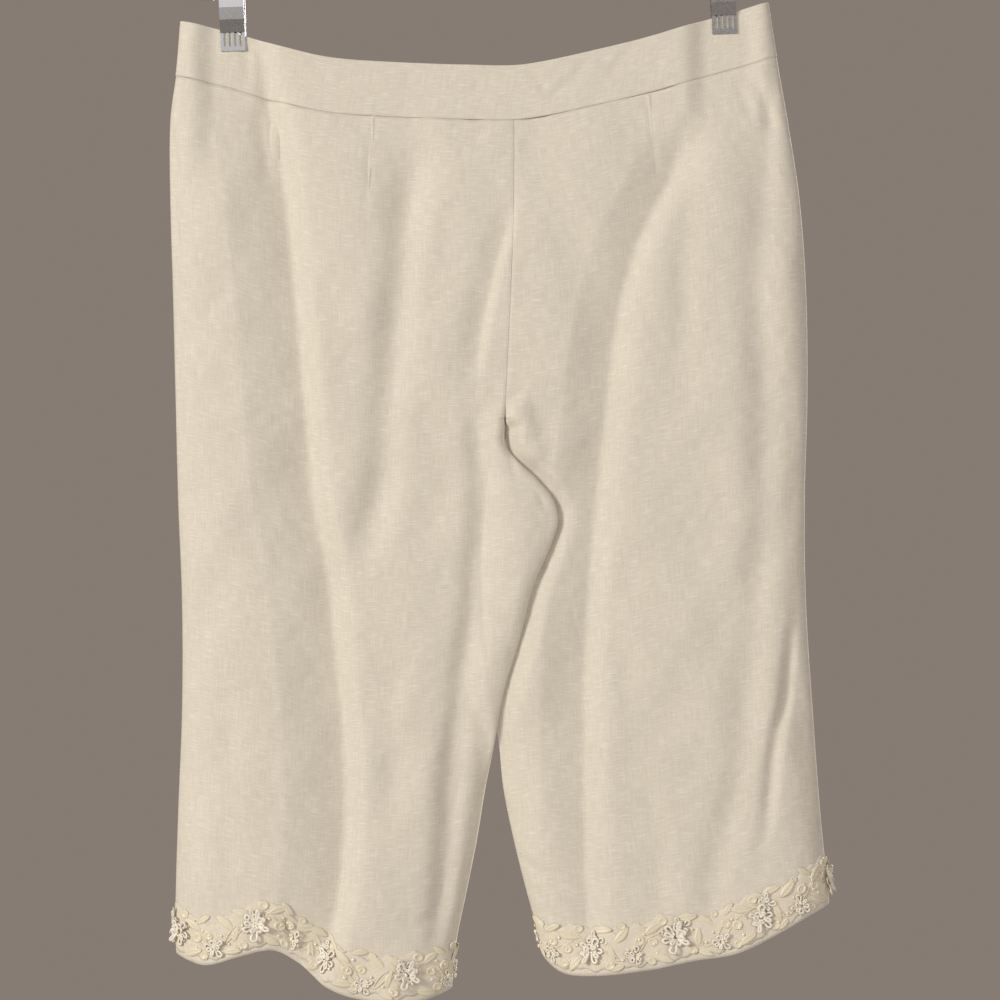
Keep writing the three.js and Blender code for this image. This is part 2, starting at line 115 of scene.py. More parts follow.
# Long folds: route as (height, place), depth into the garment, and width on the -X and +X sides.
# A negative depth is a ridge.
FOLDS = {
    "back": [
        ([(-112, -170), (-165, -164), (-212, -153), (-260, -146), (-330, -139), (-420, -131), (-480, -126),
          (-520, -117), (-600, -108), (-700, -101), (-790, -108), (-870, -132)], 8, 30, 10),
        ([(-192, -42), (-250, -51), (-327, -59), (-403, -67), (-465, -72), (-545, -88)], 4.4, 15, 13),
        ([(-236, 32), (-262, 25), (-327, 8), (-365, 1), (-415, -3)], 2.6, 13, 5),
        ([(-395, -1), (-480, 3), (-572, -4), (-679, -19), (-760, -24), (-850, -32)], 3.4, 10, 12),
        ([(-182, 159), (-235, 146), (-262, 132), (-288, 120), (-327, 109), (-373, 102), (-419, 97),
          (-480, 90), (-526, 86), (-587, 82), (-710, 81), (-850, 84)], 5.4, 22, 12),
        ([(-150, 228), (-250, 218), (-327, 215), (-403, 218), (-470, 217), (-556, 213), (-633, 206),
          (-710, 194), (-771, 179), (-830, 172)], 2.4, 14, 12),
        ([(-540, 248), (-595, 240), (-633, 235), (-664, 227), (-710, 222), (-760, 214)], 2.4, 6, 5),
        ([(-165, 170), (-250, 162), (-410, 152)], 1.6, 12, 12),
    ],
    "front": [
        ([(-150, -150), (-300, -160), (-500, -166), (-700, -168), (-870, -172)], 7, 14, 24),
        ([(-230, -70), (-400, -88), (-600, -92), (-870, -80)], 6, 20, 14),
        ([(-540, -38), (-700, -42), (-870, -45)], 5, 10, 14),
        ([(-220, 62), (-400, 88), (-600, 104), (-870, 114)], 7, 14, 20),
        ([(-150, 152), (-350, 165), (-600, 178), (-870, 196)], 7, 20, 14),
        ([(-300, 222), (-500, 228), (-700, 226)], 3, 8, 8),
    ],
}


# ---- interpolation ----
def smooth(t):
    t = np.clip(t, 0, 1)
    return t * t * (3 - 2 * t)


def mix(a, b, t):
    return a + (b - a) * t


def along(keys, values, at):
    """Smooth curve through the points, held at its ends."""
    keys, values = np.asarray(keys, float), np.asarray(values, float)
    if keys[0] > keys[-1]:
        keys, values = keys[::-1], values[::-1]
    at = np.clip(at, keys[0], keys[-1])
    i = np.clip(np.searchsorted(keys, at) - 1, 0, len(keys) - 2)
    before, after = np.maximum(i - 1, 0), np.minimum(i + 2, len(keys) - 1)
    span = keys[i + 1] - keys[i]
    t = (at - keys[i]) / span
    slope_a = (values[i + 1] - values[before]) / (keys[i + 1] - keys[before]) * span
    slope_b = (values[after] - values[i]) / (keys[after] - keys[i]) * span
    h = 1 - t
    return (h * h * (1 + 2 * t) * values[i] + t * t * (1 + 2 * h) * values[i + 1]
            + h * h * t * slope_a - t * t * h * slope_b)


def level(column, z):
    return along(LEVELS[:, 0], LEVELS[:, LEVEL_COLUMNS[column]], z)


def inseam(leg, z):
    return along(INSEAMS[:, 0], INSEAMS[:, 1 if leg == "left" else 2], z)


def waist(x):
    return along(WAIST[:, 0], WAIST[:, 1], x)


def hem(leg, x):
    return along(HEMS[leg][:, 0], HEMS[leg][:, 1], x)


# ---- the cloth's outer surface ----
def edge(distance, width):
    """Rounded edge of a flattened tube: 0 at the edge, 1 from that width inwards."""
    return np.sqrt(1 - (1 - np.clip(distance / width, 0, 1)) ** 2)


def pinch(x, z):
    """1 in a clip's grip, 0 away from it."""
    grip = np.zeros(np.broadcast(x, z).shape)
    for clip_x in CLIP_X:
        place_x = clip_x * math.cos(TILT) + CLIP_BOTTOM * math.sin(TILT)
        place_z = clip_x * math.sin(TILT) - CLIP_BOTTOM * math.cos(TILT)
        sideways = 1 - smooth((np.abs(x - place_x) - PINCH_FLAT) / PINCH_FADE)
        grip = np.maximum(grip, sideways * smooth((z - place_z + PINCH_BELOW) / PINCH_BELOW))
    return grip


def fold_depth(layer, x, z):
    total = np.zeros(np.broadcast(x, z).shape)
    for route, depth, before, after in FOLDS[layer]:
        route = np.array(route, float)
        centre = along(route[:, 0], route[:, 1], z)
        top, bottom = route[0, 0], route[-1, 0]
        strength = smooth((top - z) / 60) * smooth((z - bottom) / 70)
        width = np.where(x < centre, before, after)
        u = np.abs(x - centre) / width
        round_side = np.exp(-u * u)
        ramp_side = np.clip(1 - u / 1.5, 0, 1) ** 1.15
        shape = np.where(width >= RAMP_WIDTH, ramp_side, round_side)
        total += FOLD_RELIEF * depth * strength * shape
    return total


def skin(leg, layer, across, z, gap=SEAM_GAP):
    """Points in millimetres. across is 0 at the side seam and 1 at the rise seam or the inseam."""
    toward = 1 if leg == "left" else -1
    other = "right" if leg == "left" else "left"
    sign = -1 if layer == "back" else 1
    outer = level(leg, z)
    above = z > CROTCH
    inner = np.where(above, along(RISE[:, 0], RISE[:, 1], z), inseam(leg, z))
    seam = inner - toward * gap / 2
    x = mix(outer, seam, across)
    s = np.clip((CROTCH + CROTCH_RISE - z) / CROTCH_RISE, 0, 1)
    closed = 1 - np.sqrt(1 - s * s)
    from_side, from_inseam = np.abs(x - outer), np.abs(seam - x)
    width = level("round", z)
    hanging = mix(INSEAM_ROUND, width * HEM_ROUND, smooth((HANG_FROM[0] - z) / HANG_FROM[1]))
    width_in = mix(CROTCH_ROUND, hanging, smooth(np.abs(z - CROTCH) / CROTCH_BLEND))
    edges = edge(from_side, width) * (1 - closed + closed * edge(from_inseam, width_in))
    full = level("depth", z)
    half = full * edges
    grip = pinch(x, z)
    half = mix(half, np.minimum(half, PINCH), grip)
    away = smooth(from_side / FOLD_FADE) * np.where(above, 1, smooth(from_inseam / FOLD_FADE))
    fold = fold_depth(layer, x, z) * away * (1 - grip)
    reach = (x - inseam(other, z)) * toward
    turned = smooth((CROTCH + CROTCH_RISE - z) / CROTCH_RISE) * smooth((z - PART) / UNTURN + UNTURN_LOW)
    lap = turned * smooth(reach / LAP_FADE + 1)
    apart = smooth((CROTCH - z) / LAP_OPENS)
    middle = (LAP_EDGE + LAP_GAP) * apart
    shift = LAP_SHIFT if layer == "back" else -LAP_SHIFT
    closing = shift + middle + (full - shift - middle) * edges - fold
    if (leg == "left") == (layer == "front"):
        covered = LAP_EDGE * edge(from_inseam, LAP_ROUND) - LAP_EDGE - LAP_GAP + shift
        closing = mix(closing, covered, apart)
    depth = mix(half - fold, closing, lap)
    y = sign * (depth + gap / 2)
    return np.stack([x, y, np.broadcast_to(z, x.shape)], axis=-1)


# ---- fine creases ----
def trough(x, z, route, depth, before, after, fade=12):
    """One crease along a route of (place, height) points, tapering over its ends."""
    route = np.array(route, float)
    best = np.full(x.shape, 1e9)
    side = np.zeros(x.shape)
    where = np.zeros(x.shape)
    lengths = np.hypot(*(route[1:] - route[:-1]).T)
    run = 0
    for (ax, az), (bx, bz), length in zip(route[:-1], route[1:], lengths):
        ux, uz = (bx - ax) / length, (bz - az) / length
        t = np.clip((x - ax) * ux + (z - az) * uz, 0, length)
        dx, dz = x - ax - ux * t, z - az - uz * t
        distance = np.hypot(dx, dz)
        nearer = distance < best
        best = np.where(nearer, distance, best)
        side = np.where(nearer, dx * uz - dz * ux, side)
        where = np.where(nearer, run + t, where)
        run += length
    width = np.where(side < 0, before, after)
    taper = smooth(where / fade) * smooth((run - where) / fade)
    return depth * taper * np.exp(-((best / width) ** 2))


# Route of (place, height), depth, width on each side. Negative depths stand out.
CREASES = {
    "back": [
        # darts: sharp stitched lines
        ([(-80, -186), (-82, -225), (-85, -272)], 0.9, 1.1, 2.0),
        ([(131, -176), (134, -205), (137, -238)], 0.9, 2.0, 1.1),
        # under the waist seam
        ([(-58, -190), (-24, -200), (-6, -204), (12, -203)], 1.3, 4, 4),
        ([(60, -192), (84, -192), (104, -184)], 0.8, 4, 5),
        ([(-168, -176), (-164, -205), (-158, -240)], 1.6, 4, 6),
        # pulled flat cloth beside the right clip
        ([(209, -150), (216, -166), (223, -182), (226, -204)], 2.0, 4, 6),
        ([(196, -158), (206, -176), (212, -196)], 1.0, 4, 4),
        # side strip that rolls back at the left side seam
        ([(-232, -200), (-224, -270), (-221, -330), (-223, -385), (-227, -425)], 2.0, 3, 6),
        # round the crotch
        ([(38, -396), (25, -404), (21.5, -420)], 1.6, 4, 3),
        ([(20, -424), (24, -440), (28, -456), (30, -470)], 1.2, 2.5, 3),
        ([(42, -470), (49, -480), (53, -492)], 0.9, 2.5, 2.5),
        ([(20, -402), (12, -392), (-2, -388)], 0.8, 4, 4),
        # full places beside the crotch, and the rolled thigh below it
        ([(30, -398), (38, -428), (50, -456)], -3.0, 8, 16),
        ([(18, -462), (34, -492), (38, -530), (26, -575)], -2.4, 14, 14),
        ([(-147, -796), (-143, -806), (-139, -818)], 3.0, 1.6, 2.4, 8),
        # the left inseam shows where that thigh rolls forward
        ([(11, -448), (7, -474), (5.5, -499), (4.5, -524), (5, -560), (8, -600)], 1.1, 1.6, 3.2),
        ([(14, -584), (24, -590), (28, -588)], 0.8, 2.5, 3),
        # inside of the right leg, above the hem
        ([(31, -750), (45, -762), (62, -774), (80, -777)], 1.2, 4, 3),
        ([(48, -787), (62, -798), (76, -803)], 1.1, 3.5, 3),
        ([(40, -772), (50, -786), (55, -800)], 0.8, 3, 4),
        # cross pulls
        ([(-6, -640), (6, -655), (10, -675)], 0.7, 4, 4),
        ([(-60, -808), (-40, -800), (-25, -790)], 0.8, 4, 5),
        ([(-222, -560), (-212, -575), (-206, -600)], 0.7, 5, 6),
        ([(150, -300), (160, -330), (163, -372)], 0.6, 7, 9),
        ([(-20, -250), (-26, -300), (-40, -352)], 0.9, 8, 10),
        ([(100, -560), (112, -600), (118, -655)], 0.8, 8, 10),
        ([(-60, -600), (-66, -660), (-64, -730)], 1.0, 9, 9),
        ([(130, -690), (138, -740), (140, -790)], 1.1, 9, 9),
        ([(-190, -620), (-186, -690), (-190, -770)], 1.0, 9, 9),
    ],
    "front": [
        ([(-84, -186), (-86, -215), (-87, -250)], 0.9, 1.1, 2.0),
        ([(136, -174), (139, -200), (141, -236)], 0.9, 2.0, 1.1),
        ([(10, -396), (18, -408), (22, -420)], 1.6, 4, 3),
        ([(30, -430), (12, -448), (-8, -458)], 1.2, 4, 4),
        ([(-40, -200), (-10, -208), (20, -204)], 1.2, 4, 5),
        ([(-205, -176), (-200, -215), (-196, -260)], 1.8, 5, 7),
        ([(206, -160), (204, -200), (196, -250)], 1.8, 5, 7),
        ([(-100, -560), (-108, -640), (-104, -730)], 1.1, 9, 9),
        ([(60, -640), (66, -720), (70, -790)], 1.1, 9, 9),
        ([(150, -420), (146, -520), (150, -600)], 1.0, 9, 9),
        ([(-20, -270), (-30, -330), (-36, -380)], 0.9, 8, 10),
        ([(-28, -780), (-40, -792), (-56, -796)], 0.9, 4, 5),
    ],
}
# Wrinkles of the waistband, by the same rule.
BAND_CREASES = [
    ([(35, -152), (50, -162), (52, -176)], 0.9, 4, 4),
    ([(50, -178), (72, -160), (88, -140)], 1.0, 4, 5),
    ([(98, -160), (112, -140), (124, -128)], 0.8, 4, 4),
    ([(-178, -128), (-176, -148), (-174, -166)], 1.6, 3, 5),
    ([(-214, -125), (-212, -150)], 0.7, 4, 4),
    ([(-60, -152), (-40, -166), (-22, -172)], 0.6, 5, 6),
    ([(-130, -142), (-112, -158), (-96, -168)], 0.6, 5, 6),
    ([(206, -118), (210, -134), (214, -148)], 1.2, 3, 5),
    ([(150, -124), (140, -142), (138, -158)], 0.7, 4, 5),
]


def crumple(x, z, seed):
    """Faint unevenness of washed linen, long waves down the cloth and small puckers."""
    rng = np.random.default_rng(seed)
    total = np.zeros(np.broadcast(x, z).shape)
    for wave, height, count, slant in ((90, 0.5, 5, 0.25), (38, 0.22, 7, 0.6), (15, 0.07, 9, 1.4)):
        for _ in range(count):
            turn = rng.normal(0, slant)
            k = 2 * math.pi / (wave * rng.uniform(0.7, 1.4))
            phase = rng.uniform(0, 2 * math.pi)
            beat = rng.uniform(0.2, 0.6) * k
            total += height * np.sin(k * (x * math.cos(turn) + z * math.sin(turn)) + phase) * np.sin(
                beat * (z * math.cos(turn) - x * math.sin(turn)) + 2 * phase)
    return total


def cloth(leg, layer, across, z, seam_roll=True):
    """skin() with its creases, crumple and rolled seams, in millimetres."""
    points = skin(leg, layer, across, z)
    x = points[..., 0]
    outer, seam = level(leg, z), np.where(z > CROTCH, along(RISE[:, 0], RISE[:, 1], z), inseam(leg, z))
    from_side, from_seam = np.abs(x - outer), np.abs(seam - x)
    calm = smooth(from_side / 14) * np.where(z > CROTCH, 1, smooth(from_seam / 10)) * (1 - pinch(x, z))
    sunk = sum(trough(x, z, *crease) for crease in CREASES[layer])
    sunk = sunk * smooth(from_side / 5) + crumple(x, z, 3 if layer == "back" else 7) * calm
    if seam_roll:
        depth, width = SEAM_ROLL
        flat_seam = np.where(z > CROTCH, np.exp(-((from_seam / width) ** 2)), 0)
        sunk = sunk + depth * flat_seam
    sign = 1 if layer == "back" else -1
    points = points.copy()
    points[..., 1] += sign * sunk
    return points


def crowd(t, amount=0.85):
    """Columns crowd towards the seams, where the section is round."""
    return t - amount * np.sin(2 * math.pi * t) / (2 * math.pi)


# ---- meshes ----
def new_object(name, points, faces, uv=None, smooth_shade=True):
    mesh = bpy.data.meshes.new(name)
    mesh.from_pydata((np.asarray(points) * MM).tolist(), [], [tuple(f) for f in faces])
    mesh.update()
    if uv is not None:
        layer = mesh.uv_layers.new(name="cloth")
        loops = np.empty(len(mesh.loops), dtype=np.int64)
        mesh.loops.foreach_get("vertex_index", loops)
        layer.data.foreach_set("uv", np.asarray(uv, np.float32)[loops].ravel())
    if smooth_shade:
        mesh.polygons.foreach_set("use_smooth", [True] * len(mesh.polygons))
    obj = bpy.data.objects.new(name, mesh)
    bpy.context.scene.collection.objects.link(obj)
    return obj


def grid_faces(rows, columns, flip):
    r, c = np.meshgrid(np.arange(rows - 1), np.arange(columns - 1), indexing="ij")
    a = (r * columns + c).ravel()
    quads = np.stack([a, a + columns, a + columns + 1, a + 1], axis=1)
    return quads[:, ::-1] if flip else quads


def lay_flat(points):
    """Distance over the cloth from its first column and row, in metres, as a UV map."""
    u = np.zeros(points.shape[:2])
    v = np.zeros(points.shape[:2])
    u[:, 1:] = np.cumsum(np.linalg.norm(np.diff(points, axis=1), axis=2), axis=1)
    v[1:] = np.cumsum(np.linalg.norm(np.diff(points, axis=0), axis=2), axis=0)
    return np.stack([u, v], axis=-1) * MM


def join(name, objects):
    for obj in bpy.context.selected_objects:
        obj.select_set(False)
    for obj in objects:
        obj.select_set(True)
    bpy.context.view_layer.objects.active = objects[0]
    bpy.ops.object.join()
    objects[0].name = objects[0].data.name = name
    return objects[0]


def cloth_area(points):
    """Area of a grid of cloth in square metres."""
    across = points[1:, :-1] - points[:-1, :-1]
    down = points[:-1, 1:] - points[:-1, :-1]
    return float(np.sum(np.linalg.norm(np.cross(across, down), axis=2))) * MM * MM


def add_thickness(obj, thickness):
    wall = obj.modifiers.new("wall", "SOLIDIFY")
    wall.thickness = thickness * MM
    wall.offset = -1
    wall.use_even_offset = False
    wall.use_rim = True


# Columns, rows above the crotch, rows below it.
PANEL_GRID = {"back": (150, 96, 158), "front": (90, 70, 110)}
# Darts, from the waist seam to the point: place, then height.
DARTS = {
    "back": {"left": [(-79.5, -186), (-82, -225), (-85, -272)],
             "right": [(131, -171), (134, -205), (136.5, -234)]},
    "front": {"left": [(-84, -187), (-86, -215), (-87, -250)],
              "right": [(136, -170), (139, -200), (141, -236)]},
}


def across_at(leg, layer, x, z):
    """Place across a panel where it reaches x at height z."""
    a = np.linspace(0, 1, 400)
    out = []
    for one_x, one_z in zip(x, z):
        reached = skin(leg, layer, a, np.full_like(a, one_z))[..., 0]
        order = np.argsort(reached)
        out.append(np.interp(one_x, reached[order], a[order]))
    return np.array(out)


def dart(leg, layer):
    """The dart's stitched fold: a fine ridge that stands on the panel and runs out at its point."""
    route = np.array(DARTS[layer][leg], float)
    z = np.linspace(route[0, 1], route[-1, 1], 40)
    x = along(route[:, 1], route[:, 0], z)
    width = mix(1.3, 0.25, smooth((route[0, 1] - z) / (route[0, 1] - route[-1, 1])))
    rows = []
    for offset, lift in ((-1.0, -0.25), (-0.55, 0.42), (0.1, 0.5), (1.0, 0.1), (2.2, -0.25)):
        a = across_at(leg, layer, x + offset * width, z)
        place = cloth(leg, layer, a, z)
        place[..., 1] += (-1 if layer == "back" else 1) * lift * width / 1.3
        rows.append(place)
    points = np.stack(rows)
    uv = lay_flat(points)
    return new_object("dart", points.reshape(-1, 3), grid_faces(5, 40, layer == "back"),
                      uv.reshape(-1, 2))


def panel(leg, layer):
    """A leg panel, from the waist seam to the hem."""
    columns, above, below = PANEL_GRID[layer]
    a = crowd(np.linspace(0, 1, columns), 0.6)[None, :]
    at_waist = skin(leg, layer, a, np.full_like(a, -180.0))[..., 0]
    at_hem = skin(leg, layer, a, np.full_like(a, -840.0))[..., 0]
    top = waist(at_waist) - SEAM_GAP / 2
    bottom = hem(leg, at_hem)
    t_above = np.linspace(0, 1, above)[:, None]
    t_below = np.linspace(0, 1, below)[1:, None]
    upper = mix(top, CROTCH, 1 - (1 - t_above) ** 1.35)
    lower = mix(CROTCH, bottom, t_below ** 1.15)
    z = np.concatenate([upper, lower])
    points = cloth(leg, layer, np.broadcast_to(a, z.shape), z)
    uv = lay_flat(points)
    flip = (leg == "left") == (layer == "front")
    obj = new_object(f"{layer}_panel_{leg}", points.reshape(-1, 3),
                     grid_faces(*z.shape, flip), uv.reshape(-1, 2))
    obj = join(obj.name, [obj, dart(leg, layer)])
    add_thickness(obj, LINEN_THICK)
    return obj, (float(uv[..., 0].max()), float(uv[..., 1].max())), cloth_area(points)


def band(layer):
    """The folded waistband: outer face, rounded fold at the top, inner face."""
    cells = np.linspace(0, 1, 120)
    inner, outer = BAND_PROUD - BAND_THICK, BAND_PROUD
    radius = BAND_THICK / 2
    section = [(outer, h) for h in np.linspace(0.5, BAND_HEIGHT - radius, 26)]
    section += [(outer - radius + radius * math.cos(t), BAND_HEIGHT - radius + radius * math.sin(t))
                for t in np.linspace(0.35, math.pi - 0.35, 6)]
    section += [(inner, h) for h in np.linspace(BAND_HEIGHT - radius, 0.4, 10)]
    section += [(inner + 0.3, 0.05), (outer - 0.3, 0.05)]
    w = np.array([s[0] for s in section])[:, None]
    h = np.array([s[1] for s in section])[:, None]
    halves = []
    for leg in ("left", "right"):
        a = crowd(cells)[None, :]
        low = waist(skin(leg, layer, a, np.full_like(a, -180.0))[..., 0]) + SEAM_GAP
        z = low + h
        shape = np.broadcast(a, z).shape
        at = skin(leg, layer, np.broadcast_to(a, shape), np.broadcast_to(z, shape), gap=0.02)
        points = at
        sunk = sum(trough(at[..., 0], at[..., 2], *crease) for crease in BAND_CREASES)
        sunk = sunk * (0.8 if layer == "back" else -0.6) * smooth(np.abs(at[..., 0] - level(leg, z)) / 8)
        sunk = sunk + 0.35 * crumple(at[..., 0], at[..., 2], 11) * (1 - pinch(at[..., 0], at[..., 2]))
        sign = 1 if layer == "back" else -1
        points[..., 1] += sign * sunk
        du = np.gradient(points, axis=1)
        side = np.stack([du[..., 1], -du[..., 0], np.zeros(du.shape[:2])], axis=-1)
        side /= np.linalg.norm(side, axis=2, keepdims=True) + 1e-9
        away = side if (leg == "left") == (layer == "back") else -side
        halves.append(points + away * w[..., None])
    points = np.concatenate([halves[0], halves[1][:, ::-1][:, 1:]], axis=1)
    rows, columns = points.shape[:2]
    uv = lay_flat(points)
    faces = grid_faces(rows, columns, layer == "back")
    last = (rows - 1) * columns
    c = np.arange(columns - 1)
    closing = np.stack([last + c, c, c + 1, last + c + 1], axis=1)
    if layer == "back":
        closing = closing[:, ::-1]
    faces = [*faces.tolist(), *closing.tolist()]
    loop = [r * columns for r in range(rows)]
    ends = [loop[::-1], [i + columns - 1 for i in loop]]
    if layer == "back":
        ends = [end[::-1] for end in ends]
    faces += ends
    obj = new_object(f"waistband_{layer}_piece", points.reshape(-1, 3), faces, uv.reshape(-1, 2))
    return obj, float(uv[0, :, 0].max())


# ---- materials ----
def linear(code):
    """sRGB hex to a linear colour."""
    parts = [int(code[i:i + 2], 16) / 255 for i in (1, 3, 5)]
    return [c / 12.92 if c <= 0.04045 else ((c + 0.055) / 1.055) ** 2.4 for c in parts] + [1.0]


def node(tree, kind, inputs=None, **settings):
    """Adds a node. An input's value is a constant, or a socket to link."""
    made = tree.nodes.new(kind)
    for key, value in settings.items():
        setattr(made, key, value)
    for key, value in (inputs or {}).items():
        if isinstance(value, bpy.types.NodeSocket):
            tree.links.new(value, made.inputs[key])
        else:
            made.inputs[key].default_value = value
    return made


def new_material(name):
    material = bpy.data.materials.new(name)
    material.use_nodes = True
    tree = material.node_tree
    tree.nodes.clear()
    shader = node(tree, "ShaderNodeBsdfPrincipled")
    out = node(tree, "ShaderNodeOutputMaterial", {"Surface": shader.outputs[0]})
    out.is_active_output = True
    return material, tree, shader


THREAD_PITCH = 0.62 * MM   # centre to centre of two yarns


def weave(name, warm, light, dark, bump=0.35):
    """Plain-weave linen blend: yarns over and under on the cloth's own UV map, slubs and streaks."""
    material, tree, shader = new_material(name)
    kind = "ShaderNodeMath"
    uv = node(tree, "ShaderNodeUVMap", uv_map="cloth").outputs[0]
    split = node(tree, "ShaderNodeSeparateXYZ", {0: uv})
    # a thread wanders a little to the side
    wander = node(tree, "ShaderNodeTexNoise", {"Vector": uv, "Scale": 240.0, "Detail": 1.0})
    drift = node(tree, kind, {0: wander.outputs["Fac"], 1: 0.0009}, operation="MULTIPLY")
    waves = []
    for way in split.outputs[:2]:
        thread = node(tree, kind, {0: way, 1: drift.outputs[0]}, operation="ADD")
        turned = node(tree, kind, {0: thread.outputs[0], 1: math.pi / THREAD_PITCH}, operation="MULTIPLY")
        waves.append(node(tree, kind, {0: turned.outputs[0]}, operation="SINE").outputs[0])
    over = node(tree, kind, {0: waves[0], 1: waves[1]}, operation="MULTIPLY")
    yarn_height = node(tree, kind, {0: over.outputs[0]}, operation="ABSOLUTE")
    # slubs: thick places that run with the weft, and fainter ones with the warp
    flat_slub = node(tree, "ShaderNodeMapping", {"Vector": uv, "Scale": (90.0, 1500.0, 1.0)})
    slub = node(tree, "ShaderNodeTexNoise", {
        "Vector": flat_slub.outputs[0], "Scale": 1.0, "Detail": 2.0, "Roughness": 0.6})
    tall_slub = node(tree, "ShaderNodeMapping", {"Vector": uv, "Scale": (1300.0, 55.0, 1.0)})
    streak = node(tree, "ShaderNodeTexNoise", {"Vector": tall_slub.outputs[0], "Scale": 1.0, "Detail": 2.0})
    slub_light = node(tree, "ShaderNodeMapRange", {
        "Value": slub.outputs["Fac"], "From Min": 0.50, "From Max": 0.74, "To Max": 0.75})
    streak_light = node(tree, "ShaderNodeMapRange", {
        "Value": streak.outputs["Fac"], "From Min": 0.36, "From Max": 0.70})
    yarn = node(tree, "ShaderNodeMix", {0: streak_light.outputs[0], 6: dark, 7: warm}, data_type="RGBA")
    slubbed = node(tree, "ShaderNodeMix", {
        0: slub_light.outputs[0], 6: yarn.outputs[2], 7: light}, data_type="RGBA")
    # broad, faint unevenness of the dye
    patch = node(tree, "ShaderNodeTexNoise", {"Vector": uv, "Scale": 14.0, "Detail": 3.0})
    value = node(tree, "ShaderNodeMapRange", {"Value": patch.outputs["Fac"], "To Min": 0.95, "To Max": 1.05})
    shade = node(tree, "ShaderNodeHueSaturation", {"Color": slubbed.outputs[2], "Value": value.outputs[0]})
    tree.links.new(shade.outputs[0], shader.inputs["Base Color"])
    height = 0.0
    relief = ((yarn_height.outputs[0], 0.12), (slub.outputs["Fac"], 0.5), (streak.outputs["Fac"], 0.28))
    for source, share in relief:
        height = node(tree, kind, {0: source, 1: share, 2: height}, operation="MULTIPLY_ADD").outputs[0]
    bumped = node(tree, "ShaderNodeBump", {"Height": height, "Strength": bump, "Distance": 0.0005})
    tree.links.new(bumped.outputs[0], shader.inputs["Normal"])
    shader.inputs["Roughness"].default_value = 0.82
    shader.inputs["Sheen Weight"].default_value = 0.15
    shader.inputs["Sheen Roughness"].default_value = 0.5
    shader.inputs["Specular IOR Level"].default_value = 0.25
    return material


def simple(name, colour, roughness, metallic=0.0, noise_scale=900.0, spread=0.06, bump=0.0, distance=0.0002):
    """A finish with a little unevenness in colour, roughness and height, on Object coordinates."""
    material, tree, shader = new_material(name)
    place = node(tree, "ShaderNodeTexCoord").outputs["Object"]
    noise = node(tree, "ShaderNodeTexNoise", {"Vector": place, "Scale": noise_scale, "Detail": 3.0})
    uneven = noise.outputs["Fac"]
    value = node(tree, "ShaderNodeMapRange", {"Value": uneven, "To Min": 1 - spread, "To Max": 1 + spread})
    shade = node(tree, "ShaderNodeHueSaturation", {"Color": colour, "Value": value.outputs[0]})
    tree.links.new(shade.outputs[0], shader.inputs["Base Color"])
    rough = node(tree, "ShaderNodeMapRange", {
        "Value": uneven, "To Min": roughness - 0.06, "To Max": roughness + 0.06})
    tree.links.new(rough.outputs[0], shader.inputs["Roughness"])
    shader.inputs["Metallic"].default_value = metallic
    if bump:
        raised = node(tree, "ShaderNodeBump", {"Height": uneven, "Strength": bump, "Distance": distance})
        tree.links.new(raised.outputs[0], shader.inputs["Normal"])
    return material


# Plain-weave linen and viscose, yarn-dyed natural, washed and pressed.
LINEN = weave("linen_blend_cloth", linear("#DAD2C2"), linear("#EBE5D8"), linear("#D0C8B7"))
# The same cloth at the hem, where the embroidery's ground is dyed a shade warmer.
HEM_LINEN = weave("linen_hem_ground", linear("#E0D6C3"), linear("#ECE5D6"), linear("#D6CCB8"))
# Chromed steel strip and wire, polished, with faint rolling marks.
CHROME = simple("polished_chrome_plate", linear("#C9CBCD"), 0.27, 1.0, 400.0, 0.03, 0.05)
# Rayon embroidery thread, satin-stitched over padding.
SATIN = simple("rayon_satin_stitch", linear("#E0D6BC"), 0.42, 0.0, 700.0, 0.10, 0.3, 0.0003)
# Silk ribbon, woven narrow and stitched down in loops.
RIBBON = simple("silk_ribbon", linear("#E9E2D2"), 0.34, 0.0, 500.0, 0.07, 0.25, 0.0003)
# Pressed glass seed beads with a pearl lustre.
GLASS = simple("pearl_glass_beads", linear("#F2EAD2"), 0.14, 0.0, 300.0, 0.04)


# ---- embroidered hems ----
TRIM_TOP = 36              # mean height of the embroidery above the bottom edge
LIP = 4.5                  # plain turned edge that shows below it
REPEAT = 66                # length of one repeat of the sprig


def hem_place(leg, layer, a, h):
    """Point on the cloth at a place across and a height above the bottom edge."""
    foot = skin(leg, layer, a, np.full_like(a, -840.0))[..., 0]
    return cloth(leg, layer, a, hem(leg, foot) + h)


def hem_frame(leg, layer, a, h):
    """That point, with the directions along the hem, up the cloth, and out of it."""
    a = np.asarray(a, float)
    h = np.asarray(h, float)
    step = 0.004
    ahead, behind = np.clip(a + step, 0, 1), np.clip(a - step, 0, 1)
    run = hem_place(leg, layer, ahead, h) - hem_place(leg, layer, behind, h)
    up = hem_place(leg, layer, a, h + 1) - hem_place(leg, layer, a, h - 1)
    out = np.cross(run, up) * (1 if (leg == "left") == (layer == "back") else -1)
    unit = [v / np.linalg.norm(v, axis=-1, keepdims=True) for v in (run, up, out)]
    return hem_place(leg, layer, a, h), *unit


def hem_ruler(leg, layer):
    """Length along the hem at each place across, to lay motifs out evenly."""
    a = np.linspace(0, 1, 600)
    line = hem_place(leg, layer, a, np.full_like(a, 18.0))
    return a, np.concatenate([[0], np.cumsum(np.linalg.norm(np.diff(line, axis=0), axis=1))])


def trim_top(s):
    return (TRIM_TOP - 1 + 3.2 * np.sin(2 * np.pi * s / REPEAT + 0.6) + 1.6 * np.sin(2 * np.pi * s / 23)
            + 0.8 * np.sin(2 * np.pi * s / 9.5))


def trim_foot(s):
    return LIP + 1.4 * np.sin(2 * np.pi * s / 31 + 2) + 0.9 * np.sin(2 * np.pi * s / 12)


